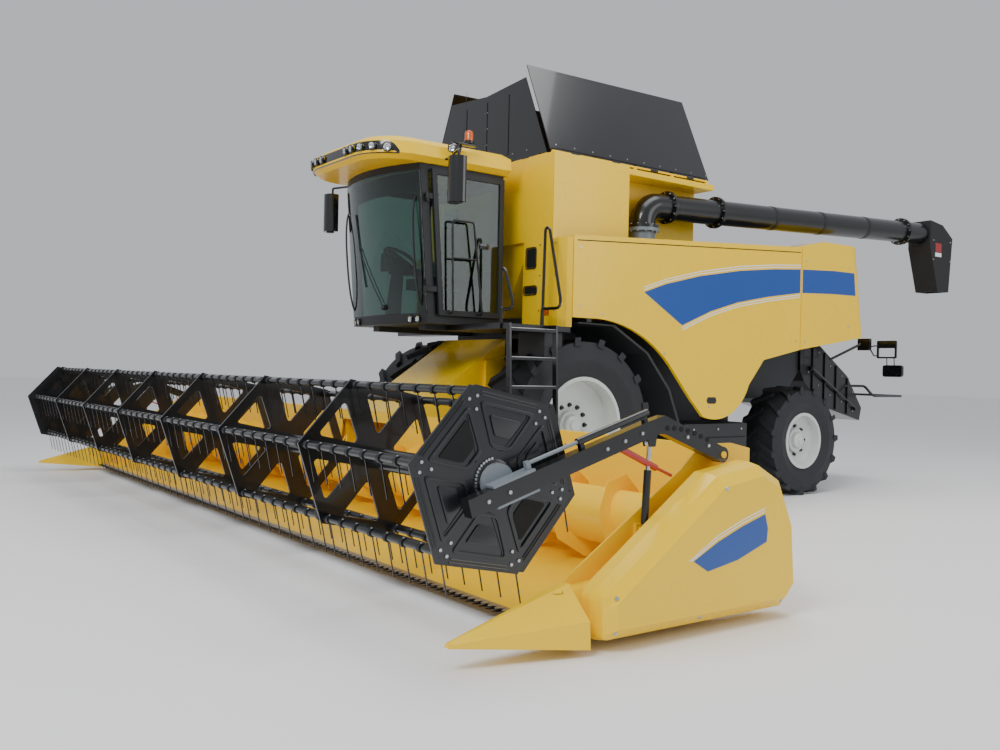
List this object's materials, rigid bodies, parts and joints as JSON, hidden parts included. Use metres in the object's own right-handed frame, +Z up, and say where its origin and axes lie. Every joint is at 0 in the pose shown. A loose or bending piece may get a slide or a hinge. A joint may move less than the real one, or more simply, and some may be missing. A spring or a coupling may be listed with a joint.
{
  "type": "combine harvester with grain header",
  "caption": "Self-propelled combine harvester with a wide grain header, tine reel, cab, grain tank with raised covers, unloading tube and straw chopper, parked with its header down.",
  "frame": {"origin": "on the ground, in the middle of the whole outline", "axes": "+X to the machine's left, +Y backwards, +Z up"},
  "size_m": [11.4, 12.0553, 5.2598],
  "materials": {
    "yellow_paint": "gloss",
    "frame_paint": "satin",
    "black_paint": "satin",
    "rim_paint": "satin",
    "cast_grey": "satin",
    "bare_steel": "brushed",
    "chrome_rod": "polished",
    "dark_moulding": "gloss",
    "black_moulding": "matte",
    "spout_rubber": "matte",
    "tyre": "matte",
    "seat_fabric": "woven",
    "cab_glazing": "gloss"
  },
  "bodies": {
    "front_wheel_left": {"front_tyre_left": "tyre", "front_rim_left": "rim_paint"},
    "front_wheel_right": {"front_tyre_right": "tyre", "front_rim_right": "rim_paint"},
    "rear_wheel_left": {"rear_tyre_left": "tyre", "rear_rim_left": "rim_paint"},
    "rear_wheel_right": {"rear_tyre_right": "tyre", "rear_rim_right": "rim_paint"},
    "machine": {"front_axle": "frame_paint", "rear_axle": "frame_paint", "hull": "frame_paint", "upper_frame": "frame_paint", "grain_tank": "yellow_paint", "filling_auger": "bare_steel", "engine": "frame_paint", "cab_frame": "black_moulding", "cab_glass": "cab_glazing", "cab_roof": "yellow_paint", "driver_seat": "seat_fabric", "cab_controls": "black_moulding", "mirrors": "black_moulding", "access_platform": "black_paint", "body_panels": "yellow_paint", "wheel_arches": "black_moulding", "side_boxes": "black_moulding", "straw_chopper": "black_paint", "tube_turret": "cast_grey"},
    "knuckle_left": {"knuckle_left": "frame_paint"},
    "knuckle_right": {"knuckle_right": "frame_paint"},
    "tie_rod": {"tie_rod": "bare_steel"},
    "tank_cover_left": {"tank_cover_left": "dark_moulding"},
    "tank_cover_right": {"tank_cover_right": "dark_moulding"},
    "tank_flap_front": {"tank_flap_front": "dark_moulding"},
    "tank_flap_rear": {"tank_flap_rear": "dark_moulding"},
    "cab_door": {"cab_door": "black_moulding", "door_glass": "cab_glazing"},
    "side_panel_left": {"side_panel_left": "yellow_paint"},
    "side_panel_right": {"side_panel_right": "yellow_paint"},
    "unloading_tube": {"unloading_tube": "black_paint", "spout": "spout_rubber"},
    "feeder_house": {"feeder_house": "yellow_paint", "header_frame": "yellow_paint", "header_ends": "yellow_paint", "knife_guards": "black_paint"},
    "lift_barrels": {"lift_barrels": "black_paint"},
    "lift_rods": {"lift_rods": "chrome_rod"},
    "knife": {"knife": "bare_steel"},
    "header_auger": {"header_auger": "yellow_paint"},
    "reel_arms": {"reel_arms": "black_paint"},
    "reel_lift_barrels": {"reel_lift_barrels": "black_paint"},
    "reel_lift_rods": {"reel_lift_rods": "chrome_rod"},
    "reel_carriages": {"reel_carriages": "cast_grey"},
    "reel": {"reel": "black_paint"},
    "reel_shields": {"reel_shields": "dark_moulding"},
    "tine_bar_1": {"tine_bar_1": "black_paint"},
    "tine_bar_2": {"tine_bar_2": "black_paint"},
    "tine_bar_3": {"tine_bar_3": "black_paint"},
    "tine_bar_4": {"tine_bar_4": "black_paint"},
    "tine_bar_5": {"tine_bar_5": "black_paint"},
    "tine_bar_6": {"tine_bar_6": "black_paint"}
  },
  "joints": [
    {"name": "front_wheel_left_spin", "type": "hinge", "parent": "machine", "child": "front_wheel_left", "pos_m": [1.3, -1.55, 1.004], "axis": [1, 0, 0], "continuous": true},
    {"name": "front_wheel_right_spin", "type": "hinge", "parent": "machine", "child": "front_wheel_right", "pos_m": [-1.3, -1.55, 1.004], "axis": [1, 0, 0], "continuous": true},
    {"name": "knuckle_left_steer", "type": "hinge", "parent": "machine", "child": "knuckle_left", "pos_m": [1.01, 2.45, 0.744], "axis": [0, 0, 1], "range_deg": [-32, 32]},
    {"name": "knuckle_right_steer", "type": "hinge", "parent": "machine", "child": "knuckle_right", "pos_m": [-1.01, 2.45, 0.744], "axis": [0, 0, 1], "range_deg": [-32, 32]},
    {"name": "tie_rod_swing", "type": "hinge", "parent": "knuckle_left", "child": "tie_rod", "pos_m": [1.01, 2.71, 0.566], "axis": [0, 0, 1], "range_deg": [-32, 32]},
    {"name": "rear_wheel_left_spin", "type": "hinge", "parent": "knuckle_left", "child": "rear_wheel_left", "pos_m": [1.37, 2.45, 0.744], "axis": [1, 0, 0], "continuous": true},
    {"name": "rear_wheel_right_spin", "type": "hinge", "parent": "knuckle_right", "child": "rear_wheel_right", "pos_m": [-1.37, 2.45, 0.744], "axis": [1, 0, 0], "continuous": true},
    {"name": "feeder_lift", "type": "hinge", "parent": "machine", "child": "feeder_house", "pos_m": [0, -1.8, 1.75], "axis": [-1, 0, 0], "range_deg": [0, 22]},
    {"name": "lift_barrels_swing", "type": "hinge", "parent": "machine", "child": "lift_barrels", "pos_m": [0, -1.78, 0.76], "axis": [-1, 0, 0], "range_deg": [0, 24.18]},
    {"name": "lift_rods_stroke", "type": "slide", "parent": "lift_barrels", "child": "lift_rods", "axis": [0, -0.9578, -0.2873], "range_m": [0, 0.37899]},
    {"name": "header_auger_spin", "type": "hinge", "parent": "feeder_house", "child": "header_auger", "pos_m": [0, -3.84, 0.56], "axis": [1, 0, 0], "continuous": true},
    {"name": "knife_stroke", "type": "slide", "parent": "feeder_house", "child": "knife", "axis": [1, 0, 0], "range_m": [-0.0381, 0.0381]},
    {"name": "reel_lift", "type": "hinge", "parent": "feeder_house", "child": "reel_arms", "pos_m": [0, -3.7, 1.085], "axis": [-1, 0, 0], "range_deg": [0, 18]},
    {"name": "reel_lift_barrels_swing", "type": "hinge", "parent": "feeder_house", "child": "reel_lift_barrels", "pos_m": [0, -4.38, 0.64], "axis": [-1, 0, 0], "range_deg": [0, 4.13]},
    {"name": "reel_lift_rods_stroke", "type": "slide", "parent": "reel_lift_barrels", "child": "reel_lift_rods", "axis": [0, 0.0555, 0.9985], "range_m": [0, 0.20381]},
    {"name": "reel_carriages_slide", "type": "slide", "parent": "reel_arms", "child": "reel_carriages", "axis": [0, 0.9573, 0.289], "range_m": [0, 0.34]},
    {"name": "reel_spin", "type": "hinge", "parent": "reel_carriages", "child": "reel", "pos_m": [0, -5.406, 0.984], "axis": [1, 0, 0], "continuous": true},
    {"name": "reel_shields_spin", "type": "hinge", "parent": "reel_carriages", "child": "reel_shields", "pos_m": [0, -5.466, 0.984], "axis": [1, 0, 0], "continuous": true},
    {"name": "tine_bar_1_turn", "type": "hinge", "parent": "reel", "child": "tine_bar_1", "pos_m": [0, -5.05412, 1.38033], "axis": [1, 0, 0], "continuous": true},
    {"name": "tine_bar_2_turn", "type": "hinge", "parent": "reel", "child": "tine_bar_2", "pos_m": [0, -5.57329, 1.4869], "axis": [1, 0, 0], "continuous": true},
    {"name": "tine_bar_3_turn", "type": "hinge", "parent": "reel", "child": "tine_bar_3", "pos_m": [0, -5.92518, 1.09057], "axis": [1, 0, 0], "continuous": true},
    {"name": "tine_bar_4_turn", "type": "hinge", "parent": "reel", "child": "tine_bar_4", "pos_m": [0, -5.75788, 0.58767], "axis": [1, 0, 0], "continuous": true},
    {"name": "tine_bar_5_turn", "type": "hinge", "parent": "reel", "child": "tine_bar_5", "pos_m": [0, -5.23871, 0.4811], "axis": [1, 0, 0], "continuous": true},
    {"name": "tine_bar_6_turn", "type": "hinge", "parent": "reel", "child": "tine_bar_6", "pos_m": [0, -4.88682, 0.87743], "axis": [1, 0, 0], "continuous": true},
    {"name": "unloading_tube_swing", "type": "hinge", "parent": "machine", "child": "unloading_tube", "pos_m": [1.19, -0.32, 3.4], "axis": [0, 0, -1], "range_deg": [0, 105]},
    {"name": "tank_cover_left_fold", "type": "hinge", "parent": "machine", "child": "tank_cover_left", "pos_m": [1.255, -0.55, 4.12], "axis": [0, -1, 0], "range_deg": [0, 66]},
    {"name": "tank_cover_right_fold", "type": "hinge", "parent": "machine", "child": "tank_cover_right", "pos_m": [-1.255, -0.55, 4.12], "axis": [0, 1, 0], "range_deg": [0, 66]},
    {"name": "tank_flap_front_fold", "type": "hinge", "parent": "machine", "child": "tank_flap_front", "pos_m": [0, -1.862, 4.092], "axis": [-1, 0, 0], "range_deg": [0, 90]},
    {"name": "tank_flap_rear_fold", "type": "hinge", "parent": "machine", "child": "tank_flap_rear", "pos_m": [0, 0.812, 4.092], "axis": [1, 0, 0], "range_deg": [0, 90]},
    {"name": "cab_door_swing", "type": "hinge", "parent": "machine", "child": "cab_door", "pos_m": [0.88, -3.23, 2.9], "axis": [0, 0, -1], "range_deg": [0, 52]},
    {"name": "side_panel_left_lift", "type": "hinge", "parent": "machine", "child": "side_panel_left", "pos_m": [1.565, -1.8, 3.124], "axis": [0, -0.9981, -0.0609], "range_deg": [0, 70]},
    {"name": "side_panel_right_lift", "type": "hinge", "parent": "machine", "child": "side_panel_right", "pos_m": [-1.565, -1.8, 3.124], "axis": [0, 0.9981, 0.0609], "range_deg": [0, 70]}
  ],
  "couplings": [
    {"joint": "knuckle_right_steer", "follows": "knuckle_left_steer", "ratio": 1},
    {"joint": "tie_rod_swing", "follows": "knuckle_left_steer", "ratio": -1},
    {"joint": "lift_barrels_swing", "follows": "feeder_lift", "ratio": 1.0763},
    {"joint": "lift_rods_stroke", "follows": "feeder_lift", "m_per_rad": 0.9818},
    {"joint": "reel_lift_barrels_swing", "follows": "reel_lift", "ratio": 0.20174},
    {"joint": "reel_lift_rods_stroke", "follows": "reel_lift", "m_per_rad": 0.64237},
    {"joint": "reel_shields_spin", "follows": "reel_spin", "ratio": 1},
    {"joint": "tine_bar_1_turn", "follows": "reel_spin", "ratio": -1},
    {"joint": "tine_bar_2_turn", "follows": "reel_spin", "ratio": -1},
    {"joint": "tine_bar_3_turn", "follows": "reel_spin", "ratio": -1},
    {"joint": "tine_bar_4_turn", "follows": "reel_spin", "ratio": -1},
    {"joint": "tine_bar_5_turn", "follows": "reel_spin", "ratio": -1},
    {"joint": "tine_bar_6_turn", "follows": "reel_spin", "ratio": -1}
  ]
}
